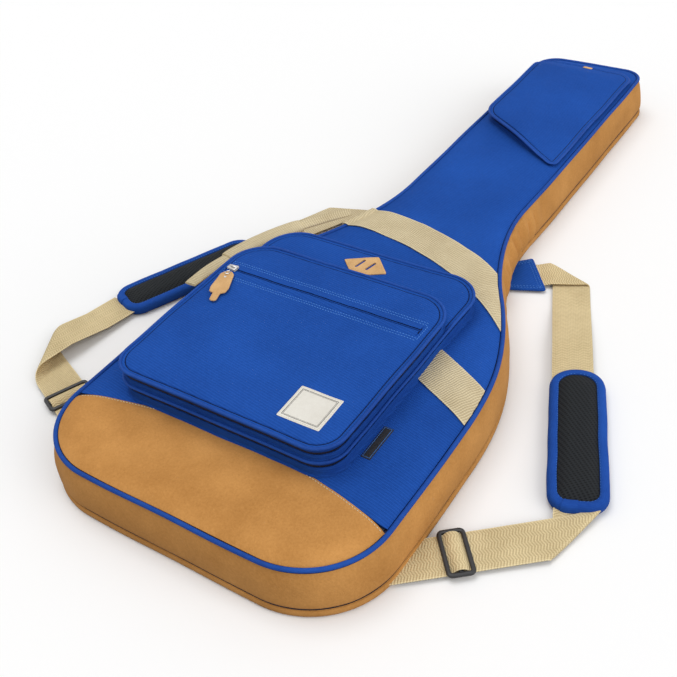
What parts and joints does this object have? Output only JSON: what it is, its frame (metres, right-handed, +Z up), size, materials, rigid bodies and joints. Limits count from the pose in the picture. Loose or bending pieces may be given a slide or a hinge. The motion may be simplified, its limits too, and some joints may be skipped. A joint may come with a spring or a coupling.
{
  "type": "guitar gig bag",
  "caption": "Padded soft case for an electric guitar: a flat back tray and a deep zipped lid with stacked pockets, a carry handle and padded shoulder straps, lying closed on its back.",
  "frame": {"origin": "on the ground under the bottom end of the bag, on the back panel's centreline", "axes": "+X across the bag to its hinge side, +Y from the bottom end to the neck end, +Z up from the flat back to the front"},
  "size_m": [0.7134, 1.096, 0.1127],
  "materials": {
    "twill": "royal blue woven polyester twill, matt",
    "binding": "royal blue woven binding and piping, matt",
    "suede": "tan brushed suede, matt",
    "leather": "tan smooth leather, soft sheen",
    "webbing": "natural beige ribbed webbing, matt",
    "mesh": "black spacer mesh over foam, matt",
    "lining": "dark grey brushed lining, matt",
    "foam": "soft closed-cell foam, matt",
    "zip": "blue woven zip tape with a nylon coil",
    "plastic": "black moulded plastic, satin",
    "metal": "bright nickel plate",
    "label_white": "white woven label, matt",
    "label_black": "black woven label, matt"
  },
  "bodies": {
    "tray": {"back_panel": "twill", "back_lining": "lining", "back_edge_strip": "suede", "main_zip_back": "zip", "hinge_strip": "twill", "neck_rest": "foam", "neck_strap": "lining", "strap_anchor_right": "twill", "strap_anchor_left": "twill", "shoulder_pad_right": "mesh", "shoulder_pad_left": "mesh", "pad_binding_right": "binding", "pad_binding_left": "binding", "shoulder_strap_upper_right": "webbing", "shoulder_strap_upper_left": "webbing", "shoulder_strap_lower_right": "webbing", "shoulder_strap_lower_left": "webbing"},
    "lid": {"main_zip_front": "zip", "side_wall": "suede", "front_padding": "foam", "front_panel": "twill", "suede_panel": "suede", "front_piping": "binding", "upper_band": "webbing", "lower_band": "webbing", "side_label": "label_black", "large_pocket_wall": "twill", "large_pocket_zip": "zip", "neck_pocket_wall": "twill", "neck_pocket_zip": "zip"},
    "handle": {"carry_handle": "webbing", "handle_grip": "leather"},
    "large_cover": {"large_pocket_cover": "twill", "large_pocket_piping": "binding", "lash_tab": "leather", "front_pocket_wall": "twill", "front_pocket_zip": "zip", "zip_end_tab": "webbing"},
    "front_cover": {"front_pocket_cover": "twill", "front_pocket_piping": "binding", "white_label": "label_white", "face_zip": "zip"},
    "neck_cover": {"neck_pocket_cover": "twill", "neck_pocket_piping": "binding", "neck_tab": "leather"},
    "adjuster_right": {"strap_adjuster_right": "plastic", "adjuster_loop_right": "webbing"},
    "adjuster_left": {"strap_adjuster_left": "plastic", "adjuster_loop_left": "webbing"},
    "main_slider_low": {"main_slider_low": "metal"},
    "main_slider_high": {"main_slider_high": "metal"},
    "main_pull_low": {"main_pull_low": "leather"},
    "main_pull_high": {"main_pull_high": "leather"},
    "large_slider": {"large_pocket_slider": "metal"},
    "large_pull": {"large_pocket_pull": "leather"},
    "front_slider": {"front_pocket_slider": "metal"},
    "front_pull": {"front_pocket_pull": "leather"},
    "neck_slider": {"neck_pocket_slider": "metal"},
    "face_slider": {"face_slider": "metal"},
    "face_pull": {"face_pull": "leather"}
  },
  "joints": [
    {"name": "lid_hinge", "type": "hinge", "parent": "tray", "child": "lid", "pos_m": [0.20693, 0.2984, 0.01085], "axis": [-0.149, 0.9888, 0], "range_deg": [0, 90]},
    {"name": "handle_swing", "type": "hinge", "parent": "lid", "child": "handle", "pos_m": [-0.15839, 0.41084, 0.0666], "axis": [0.3804, 0.9248, 0], "range_deg": [-40, 55]},
    {"name": "large_pocket_hinge", "type": "hinge", "parent": "lid", "child": "large_cover", "pos_m": [0, 0.1037, 0.07875], "axis": [1, 0, 0], "range_deg": [0, 80]},
    {"name": "front_pocket_hinge", "type": "hinge", "parent": "large_cover", "child": "front_cover", "pos_m": [0, 0.1037, 0.09675], "axis": [1, 0, 0], "range_deg": [0, 95]},
    {"name": "neck_pocket_hinge", "type": "hinge", "parent": "lid", "child": "neck_cover", "pos_m": [0.0783, 0, 0.07265], "axis": [0, 1, 0], "range_deg": [0, 110]},
    {"name": "main_slider_low_slide", "type": "slide", "parent": "tray", "child": "main_slider_low", "axis": [0, 1, 0], "range_m": [-0.06, 0]},
    {"name": "main_pull_low_swing", "type": "hinge", "parent": "main_slider_low", "child": "main_pull_low", "pos_m": [-0.0978, 0.752, 0.01085], "axis": [0, 0, -1], "range_deg": [0, 90]},
    {"name": "main_slider_high_slide", "type": "slide", "parent": "tray", "child": "main_slider_high", "axis": [0, 1, 0], "range_m": [0, 0.19]},
    {"name": "main_pull_high_swing", "type": "hinge", "parent": "main_slider_high", "child": "main_pull_high", "pos_m": [-0.0978, 0.8, 0.01085], "axis": [0, 0, 1], "range_deg": [0, 90]},
    {"name": "large_slider_slide", "type": "slide", "parent": "lid", "child": "large_slider", "axis": [0, -1, 0], "range_m": [-0.05, 0.12]},
    {"name": "large_pull_swing", "type": "hinge", "parent": "large_slider", "child": "large_pull", "pos_m": [-0.1615, 0.322, 0.0778], "axis": [0, 0, -1], "range_deg": [0, 90]},
    {"name": "front_slider_slide", "type": "slide", "parent": "large_cover", "child": "front_slider", "axis": [0, 1, 0], "range_m": [-0.095, 0.01]},
    {"name": "front_pull_swing", "type": "hinge", "parent": "front_slider", "child": "front_pull", "pos_m": [-0.1615, 0.298, 0.0958], "axis": [0, 0, -1], "range_deg": [0, 90]},
    {"name": "neck_slider_slide", "type": "slide", "parent": "lid", "child": "neck_slider", "axis": [0, 1, 0], "range_m": [-0.07, 0.05]},
    {"name": "face_slider_slide", "type": "slide", "parent": "front_cover", "child": "face_slider", "axis": [1, 0, 0], "range_m": [0, 0.235]},
    {"name": "face_pull_swing", "type": "hinge", "parent": "face_slider", "child": "face_pull", "pos_m": [-0.14, 0.299, 0.1099], "axis": [-0.9511, -0.309, 0], "range_deg": [0, 90]},
    {"name": "adjuster_right_slide", "type": "slide", "parent": "tray", "child": "adjuster_right", "axis": [0.81, 0.5864, 0], "range_m": [-0.008, 0.04]},
    {"name": "adjuster_left_slide", "type": "slide", "parent": "tray", "child": "adjuster_left", "axis": [-0.8526, 0.5225, 0], "range_m": [-0.02, 0.04]}
  ]
}
